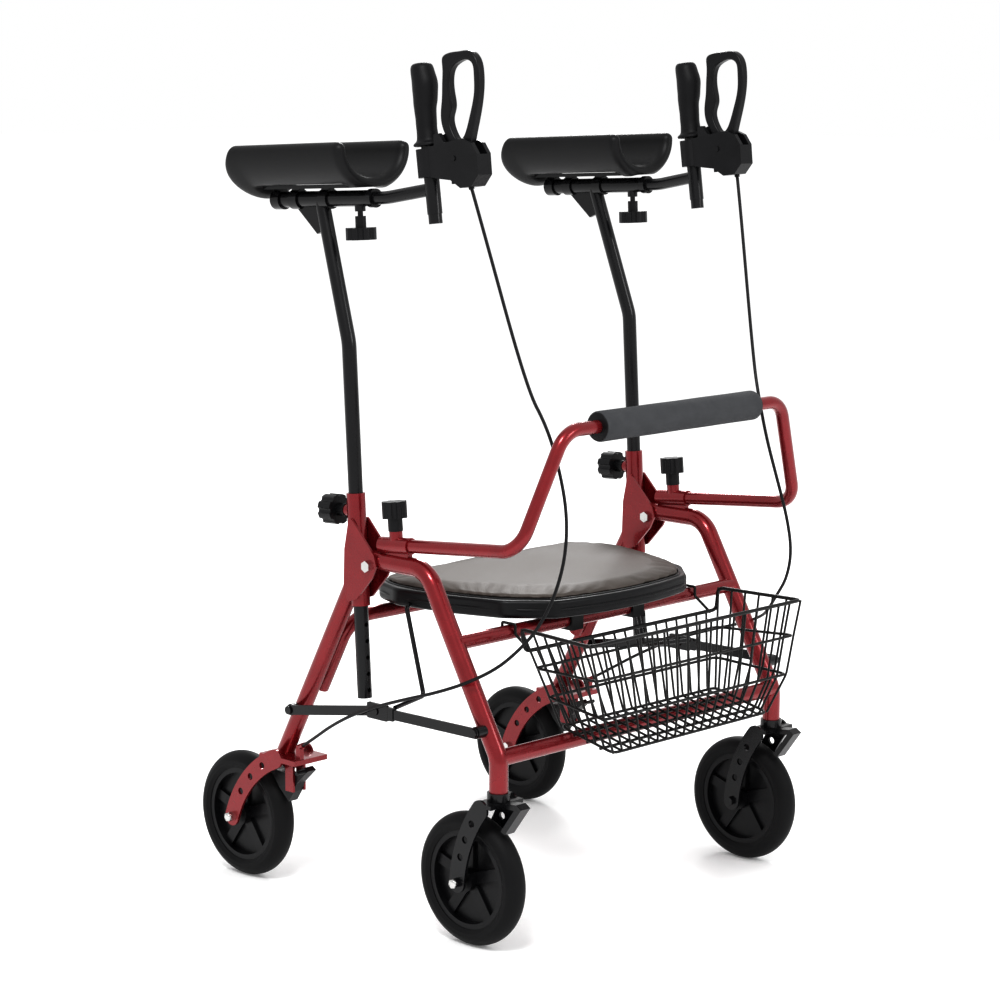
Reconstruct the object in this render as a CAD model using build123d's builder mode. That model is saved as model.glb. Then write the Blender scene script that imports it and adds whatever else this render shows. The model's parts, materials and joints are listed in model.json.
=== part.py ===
from build123d import *
from math import cos, pi, radians, sin, tan
import os

# Four-wheeled folding walking frame (rollator) with forearm supports.
# Millimetres.  Ground is z = 0, +Z is up, the frame rolls towards -Y and the
# user's left is +X.  Left-hand pieces are modelled and mirrored about x = 0.

# ---------------------------------------------------------------- clearances
moving_gap = 0.3  # between bodies that pass each other
running_gap = 0.06  # radial gap of a pin or screw turning in its hole

# ------------------------------------------------------------ driving sizes
wheel_dia = 200.0
tyre_width = 38.0
tyre_depth = 26.0  # tread to bead, in the plane of the wheel
hub_dia = 34.0
spoke_count = 5
spoke_width = 17.0
spoke_thick = 16.0
web_thick = 6.0  # disc between the hub and the rim
axle_dia = 8.0

frame_x = 315.0  # middle of each side frame and of its wheels
fold_y = -48.0
fold_z = 540.0
fold_bolt_dia = 10.0

front_leg_dia = 28.0
front_leg_top_z = 547.5
front_leg_knee_y = -156.0
front_leg_knee_radius = 46.0
stem_y = -304.0
stem_bend_z = 290.0
stem_bottom_z = 240.0
front_wheel_y = -252.0

rear_leg_dia = 27.0
rear_leg_foot_y = 166.0
rear_leg_foot_z = 204.0
rear_leg_head_y = -3.0
rear_leg_head_z = 514.0
rear_wheel_y = 250.0

upper_bar_dia = 22.0
upper_bar_y = -218.0
upper_bar_z = 447.0
lower_bar_dia = 25.0
rear_bar_dia = 22.0
rear_bar_z = 445.0
rear_bar_tail_z = 324.0
rear_bar_bend = 40.0

plate_thick = 3.5
sleeve_bottom_z = 474.0
sleeve_top_z = 644.0
height_knob_z = 617.0

upright_dia = 22.0
upright_foot_y = -22.5
upright_foot_z = 333.0
upright_bend_y = 9.8
upright_bend_z = 869.0
upright_bend_radius = 70.0
upright_top_y = 80.0
height_hole_dia = 7.0
height_hole_pitch = 25.0
height_hole_count = 5
height_hole_top_z = 445.0

arm_x = 304.0
arm_tilt = 3.0  # front of the arm is higher
arm_tube_dia = 24.0
arm_tube_bore = 19.6
arm_tube_z = 1078.0
arm_tube_back = 104.0
arm_tube_front = 108.0

trough_x = 300.0
trough_width = 150.0
trough_depth = 74.0
trough_inner_width = 108.0
trough_inner_depth = 44.0
trough_back = 146.0  # behind the upright's head
trough_front = 115.0
trough_rim_up = 82.0  # top edge above the arm tube's axis
shell_thick = 5.0
shell_width = 58.0
shell_back = 104.0
shell_front = 84.0
shell_up = 16.0

post_x = 293.0
post_y = -149.5
post_z = 1065.4
post_lean = 7.8
post_dia = 22.0
post_length = 196.0
plug_dia = 20.0  # end plug below the foot of the hand post
plug_length = 14.0
grip_start = 98.0
grip_end = 217.0
lever_pivot_f = 62.0
lever_pivot_u = 74.0
lever_width = 14.0
lever_round = 3.0
clamp_from = 53.0
clamp_to = 94.0
extension_u = 36.0
housing_cheek = 7.0

socket_y = -92.0
socket_z = 575.0
socket_tilt = 5.0
socket_length = 62.0
socket_dia = 25.0
backrest_dia = 20.0
backrest_knee_y = -341.0
backrest_top_y = -364.0
backrest_top_z = 766.0
backrest_top_half = 245.0
backrest_top_radius = 42.0
foam_dia = 45.0
foam_length = 352.0

seat_top_z = 507.0
seat_bottom_z = 464.0
seat_half = 250.0
seat_front_y = -283.0
seat_corner_radius = 34.0
seat_back_y = 60.0
seat_pad_thick = 15.0
seat_pad_inset = 11.0
seat_hollow_inset = 16.0
seat_hollow_depth = 12.0
bail_block_x = 200.0
clip_x = 70.0
clip_width = 26.0
clip_wall = 3.5
bumper_x = 150.0

link_thick = 3.4
link_height = 15.0
boss_height = 11.0
rivet_dia = 8.0
mid_boss = 2.0  # height of the boss at the braces' middle pivot
link_rear_y = 118.0
link_rear_z = 294.0
link_mid_y = -80.0
link_mid_z = 327.0
link_front_y = -284.0
link_front_z = 329.0

collar_height = 12.0
collar_dia = 34.0
collar_plug = 28.0
stem_bore = 16.0
fork_width = 30.0
fork_top_z = 216.0
bumper_width = 20.0
socket_boss = 9.0
height_boss = 6.0
brake_half = 9.0
brake_pivot_y = 136.0
brake_pivot_z = 168.0
brake_pin_dia = 8.0
brake_shoe_gap = 4.0
ferrule_dia = 8.0

bail_dia = 7.0
bail_half = 253.0
bail_hinge_y = -48.0
bail_hinge_z = 470.0
bail_knee_y = -86.0
bail_knee_z = 336.0
bail_eye_y = -112.0

basket_wire = 4.0
cable_dia = 5.0

length_middle_y = -34.5  # middle of the overall length, which is moved to y = 0

os.makedirs("parts", exist_ok=True)

# ------------------------------------------------------------ derived sizes
leg_r = front_leg_dia / 2
plate_in = leg_r + moving_gap  # half gap between the pivot plates
plate_out = plate_in + plate_thick
sleeve_r = plate_in
upright_lean = (upright_bend_y - upright_foot_y) / (upright_bend_z - upright_foot_z)
rear_slope = (rear_leg_foot_y - rear_leg_head_y) / (rear_leg_head_z - rear_leg_foot_z)
wheel_r = wheel_dia / 2
fork_gap = tyre_width / 2 + 11.0  # wheel centre plane to the inside of a fork plate
fork_thick = 4.0
pivot_screw_dia = 8.0
knob_screw_dia = 8.0


def upright_y(z):
    """Y of the straight part of the upright at a height."""
    return upright_foot_y + (z - upright_foot_z) * upright_lean


def rear_leg_y(z):
    """Y of the rear leg's centre line at a height."""
    return rear_leg_foot_y + (rear_leg_foot_z - z) * rear_slope


def arm(f, u, x=arm_x):
    """Point on an arm: f forward of the upright's head, u above the tube's axis."""
    tilt = radians(arm_tilt)
    y = upright_top_y - f * cos(tilt) + u * sin(tilt)
    return Vector(x, y, arm_tube_z + f * sin(tilt) + u * cos(tilt))


def hand(f, u, x=post_x):
    """Point on a hand post: f forward of its axis, u along it from the foot."""
    lean = radians(post_lean)
    y = post_y - f * cos(lean) + u * sin(lean)
    return Vector(x, y, post_z + f * sin(lean) + u * cos(lean))


def side_plane(x):
    """Plane whose sketch (a, b) is the object's (y, z), extruding towards +X."""
    return Plane(origin=(x, 0, 0), x_dir=(0, 1, 0), z_dir=(1, 0, 0))


def arm_plane(x):
    """Side plane of an arm: sketch x runs forward, sketch y up, extruding to -X."""
    return Plane(origin=arm(0, 0, x), x_dir=arm(1, 0, x) - arm(0, 0, x), z_dir=(-1, 0, 0))


def hand_plane(x):
    """Side plane of a hand post: sketch x forward, sketch y up, extruding to -X."""
    return Plane(origin=hand(0, 0, x), x_dir=hand(1, 0, x) - hand(0, 0, x), z_dir=(-1, 0, 0))


def along(start, end):
    """Plane at start whose normal points to end."""
    return Plane(origin=start, z_dir=Vector(*end) - Vector(*start))


def keep(part, label):
    """Label a finished piece and write its STEP file."""
    placed = part.moved(Location((0, -length_middle_y, 0)))
    placed.label = label
    export_step(placed, f"parts/{label}.step")


def keep_pair(part, label):
    """Write a left-hand piece and its mirror image."""
    keep(part, f"{label}_left")
    keep(part.mirror(Plane.YZ), f"{label}_right")


def keep_both(part, label):
    """Write a left-hand piece and its mirror image as two solids of one node."""
    with BuildPart() as both:
        add(part)
        mirror(about=Plane.YZ)
    keep(both.part, label)


def rod(start, end, radius):
    """Add a round bar between two points to the open part."""
    with BuildSketch(along(start, end)) as section:
        Circle(radius)
    extrude(section.sketch, amount=(Vector(*end) - Vector(*start)).length)


def cut_rod(start, end, radius):
    """Cut a round hole between two points in the open part."""
    with BuildSketch(along(start, end)) as section:
        Circle(radius)
    length = (Vector(*end) - Vector(*start)).length
    extrude(section.sketch, amount=length, mode=Mode.SUBTRACT)


# ------------------------------------------------------- brake cable's route
cable_points = [
    Vector(297, -228, 1104),
    Vector(291, -240, 1060),
    Vector(257, -300, 822),
    Vector(241, -325, 768),
    Vector(236, -346, 706),
    Vector(240, -365, 645),
    Vector(254, -375, 585),
    Vector(273, -371, 528),
    Vector(288, -351, 480),
    Vector(299, -322, 446),
    Vector(314, -296, 420),
    Vector(340, -262, 398),
    Vector(353, -210, 377),
    Vector(356, -150, 358),
    Vector(355, -92, 338),
    Vector(354, -36, 315),
    Vector(348, 18, 287),
    Vector(340, 62, 260),
    Vector(334, 96, 240),
]
cable_turns = [
    (cable_points[i + 1] - cable_points[i]).get_angle(cable_points[i] - cable_points[i - 1])
    for i in range(1, len(cable_points) - 1)
]
cable_runs = [(b - a).length for a, b in zip(cable_points, cable_points[1:])]
cable_radii = [
    0.45 * min(cable_runs[i], cable_runs[i + 1]) / tan(radians(turn) / 2)
    for i, turn in enumerate(cable_turns)
]
cable_start = (cable_points[1] - cable_points[0]).normalized()
cable_finish = (cable_points[-1] - cable_points[-2]).normalized()

# ------------------------------------------------------------------- wheels
def wheel(name, y):
    """Tyre and spoked rim of one pair of wheels."""
    rim_r = wheel_r - tyre_depth
    half = tyre_width / 2
    axis = Axis((frame_x, y, wheel_r), (1, 0, 0))
    section = Plane(origin=(frame_x, y, wheel_r), x_dir=(1, 0, 0), z_dir=(0, -1, 0))
    with BuildPart() as tyre:
        with BuildSketch(section):
            with BuildLine():
                Polyline((half - 4, rim_r), (-half + 4, rim_r), (-half, rim_r + 6))
                Line((-half, rim_r + 6), (-half, wheel_r - 14))
                ThreePointArc((-half, wheel_r - 14), (0, wheel_r), (half, wheel_r - 14))
                Line((half, wheel_r - 14), (half, rim_r + 6))
                Line((half, rim_r + 6), (half - 4, rim_r))
            make_face()
        revolve(axis=axis)
    keep_pair(tyre.part, f"{name}_tyre")

    rim_half = half - 5
    with BuildPart() as rim:
        with BuildSketch(section):
            with Locations((0, rim_r - 4)):
                Rectangle(2 * rim_half, 8)
            with Locations((0, rim_r / 2)):
                Rectangle(web_thick, rim_r - axle_dia)
            with Locations((0, hub_dia / 4 + axle_dia / 4)):
                Rectangle(tyre_width, hub_dia / 2 - axle_dia / 2)
        revolve(axis=axis)
        spoke_in = hub_dia / 2 - 2
        spoke_out = rim_r - 6
        for step in range(spoke_count):
            turn = radians(90 + 360 / spoke_count * step)
            out = Vector(0, cos(turn), sin(turn))
            foot = Vector(frame_x - spoke_thick / 2, y, wheel_r) + out * (spoke_in + spoke_out) / 2
            with BuildSketch(Plane(origin=foot, x_dir=out, z_dir=(1, 0, 0))):
                Rectangle(spoke_out - spoke_in, spoke_width)
            extrude(amount=spoke_thick)
        cut_rod((frame_x - half, y, wheel_r), (frame_x + half, y, wheel_r), axle_dia / 2 + running_gap)
    keep_pair(rim.part, f"{name}_rim")


wheel("front", front_wheel_y)
wheel("rear", rear_wheel_y)


def axle(y):
    """Axle with a hexagonal head outside each fork plate."""
    out = fork_gap + fork_thick
    rod((frame_x - out, y, wheel_r), (frame_x + out, y, wheel_r), axle_dia / 2)
    for side in (-1, 1):
        with BuildSketch(Plane(origin=(frame_x + side * out, y, wheel_r), z_dir=(side, 0, 0))) as head:
            RegularPolygon(7.5, 6)
        extrude(head.sketch, amount=6)


# --------------------------------------------------------------- front frame
knee = (frame_x, front_leg_knee_y, front_leg_top_z)
stem_bend = (frame_x, stem_y, stem_bend_z)
leg_end_y = fold_y + 12.0
with BuildPart() as front_leg:
    with BuildLine() as route:
        FilletPolyline(
            (frame_x, leg_end_y, front_leg_top_z),
            knee,
            stem_bend,
            (frame_x, stem_y, stem_bottom_z),
            radius=front_leg_knee_radius,
        )
    with BuildSketch(along((frame_x, leg_end_y, front_leg_top_z), knee)):
        Circle(leg_r)
    sweep(path=route.line)
    cut_rod(
        (frame_x - leg_r, fold_y, fold_z),
        (frame_x + leg_r, fold_y, fold_z),
        fold_bolt_dia / 2 + running_gap,
    )
    cut_rod(
        (frame_x, stem_y, stem_bottom_z),
        (frame_x, stem_y, stem_bottom_z + collar_plug),
        stem_bore / 2,
    )
keep_pair(front_leg.part, "front_leg")

both_front_legs = [front_leg.part, front_leg.part.mirror(Plane.YZ)]
with BuildPart() as front_crossbars:
    rod((-frame_x, upper_bar_y, upper_bar_z), (frame_x, upper_bar_y, upper_bar_z), upper_bar_dia / 2)
    rod((-frame_x, stem_y, stem_bend_z), (frame_x, stem_y, stem_bend_z), lower_bar_dia / 2)
    add(both_front_legs, mode=Mode.SUBTRACT)
keep(front_crossbars.part, "front_crossbars")

with BuildPart() as caster_collar:
    rod((frame_x, stem_y, stem_bottom_z - collar_height), (frame_x, stem_y, stem_bottom_z), collar_dia / 2)
    rod((frame_x, stem_y, stem_bottom_z), (frame_x, stem_y, stem_bottom_z + collar_plug), stem_bore / 2)
    cut_rod(
        (frame_x, stem_y, stem_bottom_z - collar_height),
        (frame_x, stem_y, stem_bottom_z + collar_plug),
        pivot_screw_dia / 2 + running_gap,
    )
keep_both(caster_collar.part, "caster_collars")

# brace boss and rivet on the outside of a leg
link_in = frame_x + leg_r + boss_height + moving_gap
rear_link_out = link_in + link_thick
front_link_in = rear_link_out + moving_gap
front_link_out = front_link_in + link_thick


def boss(y, z, leg_radius, seat_x, head_x):
    """Boss, pin and head that carry the end of a brace link on a leg."""
    rod((frame_x + leg_radius - 3, y, z), (seat_x, y, z), 9)
    rod((seat_x, y, z), (head_x + moving_gap, y, z), rivet_dia / 2)
    rod((head_x + moving_gap, y, z), (head_x + moving_gap + 2.5, y, z), 6.5)


with BuildPart() as front_brace_boss:
    boss(link_front_y, link_front_z, leg_r, front_link_in - moving_gap, front_link_out)
    add(front_leg.part, mode=Mode.SUBTRACT)
keep_both(front_brace_boss.part, "front_brace_bosses")

# sockets that hold the backrest bar, on top of the front legs
socket_up = Vector(0, sin(radians(socket_tilt)), cos(radians(socket_tilt)))
socket_way = Vector(0, -cos(radians(socket_tilt)), sin(radians(socket_tilt)))
socket_mid = Vector(frame_x, socket_y, socket_z)
bar_bore = backrest_dia / 2 + moving_gap
with BuildPart() as socket:
    rod(socket_mid - socket_way * socket_length / 2, socket_mid + socket_way * socket_length / 2, socket_dia / 2)
    with Locations((frame_x, socket_y, (front_leg_top_z + socket_z) / 2)):
        Box(10, socket_length - 6, socket_z - front_leg_top_z)
    rod(socket_mid, socket_mid + socket_up * (socket_dia / 2 + socket_boss), 10)
    cut_rod(socket_mid - socket_way * 50, socket_mid + socket_way * 50, bar_bore)
    cut_rod(socket_mid, socket_mid + socket_up * 50, knob_screw_dia / 2 + running_gap)
    add(front_leg.part, mode=Mode.SUBTRACT)
keep_both(socket.part, "backrest_sockets")

# --------------------------------------------------------------- caster fork
crown_top = stem_bottom_z - collar_height - moving_gap
crown_z = crown_top - 6


def fork_plates(path):
    """Pair of curved fork plates with three lightening holes, along an arc."""
    middle = Edge.make_three_point_arc(*[Vector(*point) for point in path])
    for side in (-1, 1):
        inside = frame_x + side * fork_gap
        with BuildSketch(side_plane(min(inside, inside + side * fork_thick))) as blade:
            SlotArc(middle, fork_width)
            with Locations(*[middle @ share for share in (0.22, 0.45, 0.68)]):
                Circle(5.5, mode=Mode.SUBTRACT)
        extrude(blade.sketch, amount=fork_thick)


with BuildPart() as caster_fork:
    fork_plates([(stem_y + 6, crown_z - 4), (-268, 166), (front_wheel_y, wheel_r)])
    with Locations((frame_x, stem_y, (crown_top + crown_z) / 2)):
        Box(2 * (fork_gap + fork_thick), 34, crown_top - crown_z)
    rod((frame_x, stem_y, crown_top), (frame_x, stem_y, stem_bottom_z + collar_plug - 4), pivot_screw_dia / 2)
    with BuildSketch(side_plane(frame_x - bumper_width / 2)) as hook:
        with BuildLine():
            Polyline(
                (stem_y - 12, crown_top - 1),
                (stem_y - 44, crown_top + 3),
                (stem_y - 54, crown_top - 3),
                (stem_y - 22, crown_top - 46),
                (stem_y - 14, crown_top - 42),
                (stem_y - 40, crown_top - 6),
                (stem_y - 12, crown_z - 1),
                close=True,
            )
        make_face()
    extrude(hook.sketch, amount=bumper_width)
    axle(front_wheel_y)
keep_pair(caster_fork.part, "caster_fork")

# ---------------------------------------------------------------- rear frame
sleeve_foot = Vector(frame_x, upright_y(sleeve_bottom_z), sleeve_bottom_z)
sleeve_head = Vector(frame_x, upright_y(sleeve_top_z), sleeve_top_z)
upright_way = (sleeve_head - sleeve_foot).normalized()
knob_foot = Vector(frame_x, upright_y(height_knob_z), height_knob_z)
knob_way = Vector(0, upright_way.Z, -upright_way.Y)
with BuildPart() as sleeve:
    rod(sleeve_foot, sleeve_head, sleeve_r)
    rod(knob_foot, knob_foot + knob_way * (sleeve_r + height_boss), 9)
    cut_rod(sleeve_foot - upright_way * 5, sleeve_head + upright_way * 5, upright_dia / 2 + moving_gap)
    cut_rod(knob_foot, knob_foot + knob_way * 50, knob_screw_dia / 2 + running_gap)
keep_both(sleeve.part, "upright_sleeves")

with BuildPart() as sleeve_core:
    rod(sleeve_foot - upright_way * 60, sleeve_head + upright_way * 60, sleeve_r)

leg_head = Vector(frame_x, rear_leg_head_y, rear_leg_head_z)
leg_foot = Vector(frame_x, rear_leg_foot_y, rear_leg_foot_z)
with BuildPart() as rear_leg:
    rod(leg_foot, leg_head, rear_leg_dia / 2)
    add(sleeve_core.part, mode=Mode.SUBTRACT)
    with Locations((frame_x, leg_foot.Y, fork_top_z - 50)):
        Box(100, 200, 100, mode=Mode.SUBTRACT)
keep_pair(rear_leg.part, "rear_leg")

with BuildPart() as pivot_plates:
    for inside in (frame_x + plate_in, frame_x - plate_out):
        with BuildSketch(side_plane(inside)) as plate:
            with BuildLine():
                Polyline(
                    (upright_y(612) - 2, 612),
                    (3, 560),
                    (5, 497),
                    (-4, 480),
                    (-24, 487),
                    (fold_y - 8, fold_z - 18),
                    (fold_y - 18, fold_z + 2),
                    (fold_y - 13, fold_z + 18),
                    close=True,
                )
            make_face()
            fillet(plate.vertices(), radius=5)
        extrude(plate.sketch, amount=plate_thick)
    cut_rod(
        (frame_x - plate_out, fold_y, fold_z),
        (frame_x + plate_out, fold_y, fold_z),
        fold_bolt_dia / 2,
    )
keep_both(pivot_plates.part, "pivot_plates")

with BuildPart() as fold_bolt:
    rod(
        (frame_x - plate_out - 6, fold_y, fold_z),
        (frame_x + plate_out + 1, fold_y, fold_z),
        fold_bolt_dia / 2,
    )
    for seat_x, way in ((frame_x + plate_out, 1), (frame_x - plate_out, -1)):
        with BuildSketch(Plane(origin=(seat_x, fold_y, fold_z), z_dir=(way, 0, 0))) as head:
            RegularPolygon(9, 6)
        extrude(head.sketch, amount=6)
keep_both(fold_bolt.part, "fold_bolts")

tail_x = frame_x - rear_leg_dia / 2 - rear_bar_dia / 2
with BuildPart() as rear_crossbar:
    with BuildLine() as route:
        FilletPolyline(
            (-tail_x, rear_leg_y(rear_bar_tail_z), rear_bar_tail_z),
            (-tail_x, rear_leg_y(rear_bar_z), rear_bar_z),
            (tail_x, rear_leg_y(rear_bar_z), rear_bar_z),
            (tail_x, rear_leg_y(rear_bar_tail_z), rear_bar_tail_z),
            radius=rear_bar_bend,
        )
    with BuildSketch(Plane(origin=route.line @ 0, z_dir=route.line % 0)):
        Circle(rear_bar_dia / 2)
    sweep(path=route.line)
keep(rear_crossbar.part, "rear_crossbar")

with BuildPart() as rear_brace_boss:
    boss(link_rear_y, link_rear_z, rear_leg_dia / 2, link_in - moving_gap, rear_link_out)
    add(rear_leg.part, mode=Mode.SUBTRACT)
keep_both(rear_brace_boss.part, "rear_brace_bosses")

with BuildPart() as rear_fork:
    fork_plates([(146, fork_top_z - 4), (214, 163), (rear_wheel_y, wheel_r)])
    with Locations((frame_x, 141, fork_top_z - 4)):
        Box(2 * (fork_gap + fork_thick), 82, 8)
    for side in (-1, 1):
        ear_x = frame_x + side * (brake_half + moving_gap + 2)
        with Locations((ear_x, brake_pivot_y, (fork_top_z + brake_pivot_z - 10) / 2)):
            Box(4, 18, fork_top_z - brake_pivot_z + 10)
    rod(
        (frame_x - brake_half - 4, brake_pivot_y, brake_pivot_z),
        (frame_x + brake_half + 4, brake_pivot_y, brake_pivot_z),
        brake_pin_dia / 2,
    )
    cable_stop = cable_points[-1] + cable_finish * 12
    rod(cable_points[-1], cable_stop, ferrule_dia / 2)
    with Locations((cable_stop.X, cable_stop.Y, (fork_top_z + cable_stop.Z) / 2)):
        Box(8, 9, cable_stop.Z - fork_top_z + 8)
    cut_rod(
        (frame_x - 40, rear_wheel_y, wheel_r),
        (frame_x + 40, rear_wheel_y, wheel_r),
        axle_dia / 2,
    )
keep_both(rear_fork.part, "rear_forks")
with BuildPart() as rear_axle:
    axle(rear_wheel_y)
keep_both(rear_axle.part, "rear_axles")

# ------------------------------------------------------------------ uprights
bend = Vector(frame_x, upright_bend_y, upright_bend_z)
upright_foot = Vector(frame_x, upright_foot_y, upright_foot_z)
upright_head = Vector(arm_x, upright_top_y, arm_tube_z)
arm_way = arm(1, 0) - arm(0, 0)
with BuildPart() as arm_core:
    rod(arm(-arm_tube_back, 0), arm(arm_tube_front, 0), arm_tube_dia / 2)

with BuildPart() as upright:
    with BuildLine() as route:
        FilletPolyline(upright_foot, bend, upright_head, radius=upright_bend_radius)
    with BuildSketch(along(upright_foot, bend)):
        Circle(upright_dia / 2)
    sweep(path=route.line)
    for step in range(height_hole_count):
        hole_z = height_hole_top_z - step * height_hole_pitch
        hole = Vector(frame_x, upright_y(hole_z), hole_z)
        cut_rod(hole, hole - knob_way * 20, height_hole_dia / 2)
    add(arm_core.part, mode=Mode.SUBTRACT)
upright_solid = upright.part.solids().sort_by(SortBy.VOLUME)[-1]
keep_pair(Part(upright_solid.wrapped), "upright_tube")

knob_f = 83.0
with BuildPart() as armrest_bracket:
    rod(arm(-arm_tube_back, 0), arm(arm_tube_front, 0), arm_tube_dia / 2)
    rod(arm(arm_tube_front, 0), arm(arm_tube_front + 10, 0), arm_tube_dia / 2 + 2)
    with BuildSketch(arm_plane(arm_x + 3)) as gusset:
        with BuildLine():
            Polyline((4, -4), (-62, -4), (-10, -52), (6, -46), close=True)
        make_face()
    extrude(gusset.sketch, amount=6)
    add(upright_solid, mode=Mode.SUBTRACT)
    for f in (-92, -52, 14):
        rod(arm(f - 9, 0), arm(f + 9, 0), arm_tube_dia / 2 + 3)
        with BuildSketch(arm_plane(arm_x + 6)) as lug:
            with Locations((f, shell_up / 2 + 4)):
                Rectangle(16, shell_up - 8)
        extrude(lug.sketch, amount=12)
    rod(arm(knob_f, 0), arm(knob_f, -arm_tube_dia / 2 - 7), 8)
    with BuildSketch(arm_plane(trough_x + shell_width / 2)) as plate:
        with Locations(((shell_front - shell_back) / 2, shell_up + shell_thick / 2)):
            Rectangle(shell_front + shell_back, shell_thick)
    extrude(plate.sketch, amount=shell_width)
    add(upright_solid, mode=Mode.SUBTRACT)
    cut_rod(arm(-arm_tube_back + 6, 0), arm(arm_tube_front + 20, 0), arm_tube_bore / 2)
    cut_rod(arm(knob_f, 0), arm(knob_f, -40), knob_screw_dia / 2 + running_gap)
bracket_solid = armrest_bracket.part.solids().sort_by(SortBy.VOLUME)[-1]
keep_pair(Part(bracket_solid.wrapped), "armrest_bracket")

trough_end = Plane(origin=arm(-trough_back, trough_rim_up, trough_x), x_dir=(1, 0, 0), z_dir=arm_way)
with BuildPart() as forearm_pad:
    with BuildSketch(trough_end):
        Ellipse(trough_width / 2, trough_depth)
        Ellipse(trough_inner_width / 2, trough_inner_depth, mode=Mode.SUBTRACT)
        with Locations((0, trough_depth)):
            Rectangle(trough_width * 2, trough_depth * 2, mode=Mode.SUBTRACT)
        with Locations((arm_x - trough_x, -trough_rim_up)):
            Circle(arm_tube_dia / 2 + 3.6, mode=Mode.SUBTRACT)
    extrude(amount=trough_back + trough_front)
    with BuildSketch(arm_plane(trough_x + shell_width / 2 + 4)) as recess:
        with Locations(((shell_front - shell_back) / 2, shell_up + shell_thick - 25)):
            Rectangle(shell_front + shell_back + 8, 50)
    extrude(recess.sketch, amount=shell_width + 8, mode=Mode.SUBTRACT)
keep_pair(forearm_pad.part, "forearm_pad")

# --------------------------------------------------------------- hand posts
slide_in = -60.0
slide_r = arm_tube_bore / 2 - moving_gap
with BuildPart() as handle_tube:
    with BuildLine() as route:
        FilletPolyline(
            arm(slide_in, 0),
            arm(arm_tube_front + 32, 0),
            hand(0, extension_u),
            radius=120,
        )
    with BuildSketch(along(arm(slide_in, 0), arm(0, 0))):
        Circle(slide_r)
    sweep(path=route.line)
    rod(hand(0, 0), hand(0, post_length), post_dia / 2)
    rod(hand(0, -plug_length), hand(0, 0), plug_dia / 2)
keep_pair(handle_tube.part, "handle_tube")

with BuildPart() as grip:
    with BuildSketch(hand_plane(post_x)) as outline:
        with BuildLine():
            Polyline(
                (0, grip_start),
                (23, grip_start),
                (23, grip_start + 4),
                (17, grip_start + 9),
                (15.5, grip_start + 40),
                (18, grip_start + 66),
                (20, grip_start + 84),
                (17.5, grip_end - 4),
                (14, grip_end),
                (0, grip_end),
                close=True,
            )
        make_face()
    revolve(outline.sketch, axis=Axis(hand(0, 0), hand(0, 1) - hand(0, 0)))
    cut_rod(hand(0, 0), hand(0, post_length), post_dia / 2)
keep_pair(grip.part, "grip")

hub = (lever_pivot_f, lever_pivot_u)
cheek_in = lever_width / 2 + moving_gap
cheek_out = cheek_in + housing_cheek
with BuildPart() as brake_housing:
    with BuildSketch(hand_plane(post_x + cheek_out)) as body:
        with BuildLine():
            Polyline(
                (4, 54),
                (30, 48),
                (52, 44),
                (70, 31),
                (92, 31),
                (108, 46),
                (109, 76),
                (100, 92),
                (84, 100),
                (46, 98),
                (36, 113),
                (26, 112),
                (25, 96),
                (4, 96),
                close=True,
            )
        make_face()
        fillet(body.vertices(), radius=2)
    extrude(body.sketch, amount=2 * cheek_out)
    rod(hand(0, clamp_from), hand(0, clamp_to), post_dia / 2 + 8)
    with BuildSketch(hand_plane(post_x + cheek_in)) as slot:
        with BuildLine():
            Polyline((42, 58), (60, 54), (84, 58), (130, 90), (130, 130), (18, 130), (34, 94), close=True)
        make_face()
    extrude(slot.sketch, amount=2 * cheek_in, mode=Mode.SUBTRACT)
    cut_rod(hand(0, 30), hand(0, 100), post_dia / 2)
    rod(
        hand(*hub, post_x - cheek_out - 1.5),
        hand(*hub, post_x + cheek_out + 1.5),
        pivot_screw_dia / 2,
    )
    rod(hand(44, 52), hand(44, 39), 3)
    rod(cable_points[0] - cable_start * 16, cable_points[0], ferrule_dia / 2)
keep_pair(brake_housing.part, "brake_housing")

with BuildPart() as brake_lever:
    with BuildSketch(hand_plane(post_x + lever_width / 2)) as loop:
        with BuildLine():
            Spline(
                (48, 80),
                (46, 100),
                (38, 118),
                (36, 138),
                (41, 160),
                (45, 184),
                (48, 206),
                (50, 219),
                (60, 223),
                (84, 223),
                (106, 220),
                (117, 208),
                (120, 190),
                (116, 160),
                (106, 130),
                (96, 106),
                (86, 80),
                (78, 65),
                (66, 59),
                (54, 64),
                periodic=True,
            )
        make_face()
        with BuildLine():
            Spline(
                (60, 106),
                (54, 120),
                (53, 132),
                (59, 146),
                (59, 166),
                (59, 184),
                (66, 201),
                (80, 208),
                (98, 209),
                (107, 203),
                (109, 188),
                (106, 162),
                (95, 134),
                (84, 112),
                (76, 102),
                (68, 99),
                periodic=True,
            )
        make_face(mode=Mode.SUBTRACT)
    extrude(loop.sketch, amount=lever_width)
    rims = brake_lever.faces().sort_by(Axis.X)
    fillet(rims[0].edges() + rims[-1].edges(), radius=lever_round)
    cut_rod(
        hand(*hub, post_x - lever_width),
        hand(*hub, post_x + lever_width),
        pivot_screw_dia / 2 + running_gap,
    )
keep_pair(brake_lever.part, "brake_lever")


# --------------------------------------------------------------------- knobs
def knob(foot, way, screw_from, collar_from, cap_from, cap_to, cap_r, collar_r):
    """Lobed screw knob whose screw points back towards foot."""
    rod(foot + way * screw_from, foot + way * cap_from, knob_screw_dia / 2)
    rod(foot + way * collar_from, foot + way * cap_from, collar_r)
    with BuildSketch(Plane(origin=foot + way * cap_from, z_dir=way)) as cap:
        Circle(cap_r)
        with PolarLocations(cap_r + 2, 8):
            Circle(5, mode=Mode.SUBTRACT)
    extrude(cap.sketch, amount=cap_to - cap_from)


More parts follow.
